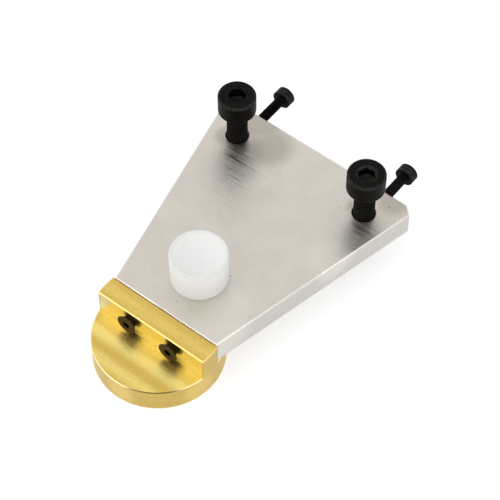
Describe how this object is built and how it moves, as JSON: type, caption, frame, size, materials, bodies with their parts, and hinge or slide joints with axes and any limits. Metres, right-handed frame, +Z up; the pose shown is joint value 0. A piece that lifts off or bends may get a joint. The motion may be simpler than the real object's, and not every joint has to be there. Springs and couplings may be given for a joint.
{
  "type": "tripod polishing holder",
  "caption": "Three-point polishing holder: trapezoid steel plate on a round brass foot and adjustable black screw legs with side lock screws, with a dished white finger knob.",
  "frame": {"origin": "centre of the brass foot's flat lower face, which carries the work and stands on the polishing surface", "axes": "+Z up, out of the polishing surface; +Y along the plate from the brass foot towards its wide end; +X to the right seen from the foot"},
  "size_m": [0.0434, 0.069, 0.022],
  "materials": {
    "stainless": "satin",
    "brass": "satin",
    "acetal": "satin",
    "black_oxide": "satin"
  },
  "bodies": {
    "holder": {"base_plate": "stainless", "brass_foot": "brass", "finger_knob": "acetal", "knob_stud": "black_oxide", "foot_screw_left": "black_oxide", "foot_screw_right": "black_oxide"},
    "left_leg": {"leg_screw_left": "black_oxide"},
    "right_leg": {"leg_screw_right": "black_oxide"},
    "left_lock": {"lock_screw_left": "black_oxide"},
    "right_lock": {"lock_screw_right": "black_oxide"}
  },
  "joints": [
    {"name": "left_leg_height", "type": "slide", "parent": "holder", "child": "left_leg", "axis": [0, 0, 1], "range_m": [-0.0075, 0.005]},
    {"name": "right_leg_height", "type": "slide", "parent": "holder", "child": "right_leg", "axis": [0, 0, 1], "range_m": [-0.0075, 0.005]},
    {"name": "left_lock_travel", "type": "slide", "parent": "holder", "child": "left_lock", "axis": [0, 1, 0], "range_m": [-0.0014, 0.0022]},
    {"name": "right_lock_travel", "type": "slide", "parent": "holder", "child": "right_lock", "axis": [0, 1, 0], "range_m": [-0.0007, 0.0029]}
  ]
}
